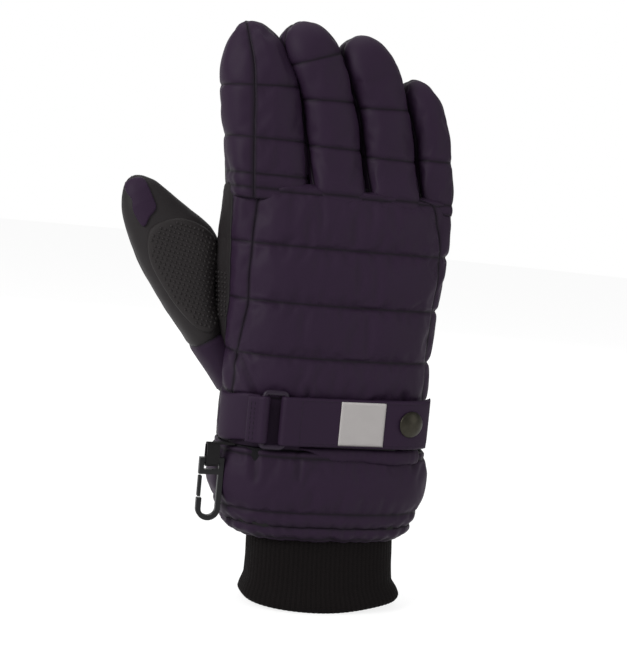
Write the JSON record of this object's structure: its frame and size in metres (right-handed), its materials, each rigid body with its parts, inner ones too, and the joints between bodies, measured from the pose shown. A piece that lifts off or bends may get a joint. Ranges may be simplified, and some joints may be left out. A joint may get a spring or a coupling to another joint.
{
  "type": "insulated work glove",
  "caption": "Right-hand insulated work glove with quilted back, synthetic leather palm, adjustable wrist strap with loop buckle and snap, rib-knit cuff and hanging clip.",
  "frame": {"origin": "middle of the open rim of the knit cuff, on the plane the rim stands on", "axes": "+Z from the cuff to the fingertips, -Y out of the quilted back of the hand, +Y out of the palm, -X to the thumb side"},
  "size_m": [0.1655, 0.0617, 0.285],
  "materials": {
    "quilted_nylon": "dark purple woven nylon, soft sheen",
    "palm_leather": "black synthetic leather, matt",
    "grip_leather": "charcoal synthetic leather with a raised dot grid",
    "insulation": "white polyester wadding",
    "lining": "black brushed fleece",
    "rib_knit": "black rib knit",
    "elastic": "white covered elastic",
    "strap_webbing": "dark purple woven webbing",
    "black_webbing": "black woven webbing",
    "fastening_tape": "black hook-and-loop tape",
    "label": "pale grey woven label, blank",
    "buckle_plastic": "dark purple moulded plastic",
    "hook_plastic": "black moulded plastic",
    "snap_metal": "dark antique metal"
  },
  "bodies": {
    "hand": {"anchor_tab": "strap_webbing", "gathered_hem": "quilted_nylon", "gauntlet_cuff": "quilted_nylon", "gauntlet_lining": "lining", "hand_back_quilted": "quilted_nylon", "hand_insulation": "insulation", "hand_lining": "lining", "hand_palm": "palm_leather", "hem_elastic": "elastic", "knit_cuff": "rib_knit", "little_side_strip": "quilted_nylon", "loop_buckle": "buckle_plastic", "loop_tape": "fastening_tape", "palm_grip_patch": "grip_leather", "snap_stud": "snap_metal", "strap_under_layer": "strap_webbing", "thumb_gusset": "quilted_nylon", "thumb_side_strip": "quilted_nylon", "webbing_loop": "black_webbing", "wrist_elastic": "elastic"},
    "index_finger": {"index_finger_back": "quilted_nylon", "index_finger_sides": "quilted_nylon", "index_finger_palm": "palm_leather", "index_finger_insulation": "insulation", "index_finger_lining": "lining"},
    "middle_finger": {"middle_finger_back": "quilted_nylon", "middle_finger_sides": "quilted_nylon", "middle_finger_palm": "palm_leather", "middle_finger_insulation": "insulation", "middle_finger_lining": "lining"},
    "ring_finger": {"ring_finger_back": "quilted_nylon", "ring_finger_sides": "quilted_nylon", "ring_finger_palm": "palm_leather", "ring_finger_insulation": "insulation", "ring_finger_lining": "lining"},
    "little_finger": {"little_finger_back": "quilted_nylon", "little_finger_sides": "quilted_nylon", "little_finger_palm": "palm_leather", "little_finger_insulation": "insulation", "little_finger_lining": "lining"},
    "thumb": {"thumb_front": "palm_leather", "thumb_rear": "palm_leather", "thumb_insulation": "insulation", "thumb_lining": "lining", "thumb_grip_patch": "grip_leather", "thumb_tip_patch": "quilted_nylon"},
    "strap": {"strap_tail": "strap_webbing", "hook_tape": "fastening_tape", "blank_label": "label", "snap_cap": "snap_metal", "snap_socket": "snap_metal"},
    "hook": {"snap_hook": "hook_plastic"},
    "gate": {"hook_gate": "hook_plastic"}
  },
  "joints": [
    {"name": "index_finger_bend", "type": "hinge", "parent": "hand", "child": "index_finger", "pos_m": [-0.04514, 0.00799, 0.20558], "axis": [-0.9914, 0, -0.1305], "range_deg": [0, 50]},
    {"name": "middle_finger_bend", "type": "hinge", "parent": "hand", "child": "middle_finger", "pos_m": [-0.01294, 0.00799, 0.20558], "axis": [-0.9903, 0, -0.1392], "range_deg": [0, 50]},
    {"name": "ring_finger_bend", "type": "hinge", "parent": "hand", "child": "ring_finger", "pos_m": [0.01545, 0.00799, 0.20558], "axis": [-0.9914, 0, -0.1305], "range_deg": [0, 50]},
    {"name": "little_finger_bend", "type": "hinge", "parent": "hand", "child": "little_finger", "pos_m": [0.03893, 0.00799, 0.20558], "axis": [-0.9976, 0, -0.0698], "range_deg": [0, 50]},
    {"name": "thumb_bend", "type": "hinge", "parent": "hand", "child": "thumb", "pos_m": [-0.07507, 0.021, 0.13813], "axis": [-0.8387, 0, -0.5446], "range_deg": [0, 40]},
    {"name": "strap_peel", "type": "hinge", "parent": "hand", "child": "strap", "pos_m": [-0.03075, -0.0292, 0.095], "axis": [0, 0, -1], "range_deg": [0, 100]},
    {"name": "hook_swing", "type": "hinge", "parent": "hand", "child": "hook", "pos_m": [-0.065, -0.016, 0.074], "axis": [-1, 0, 0], "range_deg": [0, 70]},
    {"name": "gate_press", "type": "hinge", "parent": "hook", "child": "gate", "pos_m": [-0.0701, -0.016, 0.0663], "axis": [0, -1, 0], "range_deg": [0, 25], "stiffness_Nm_per_rad": 0.01}
  ]
}
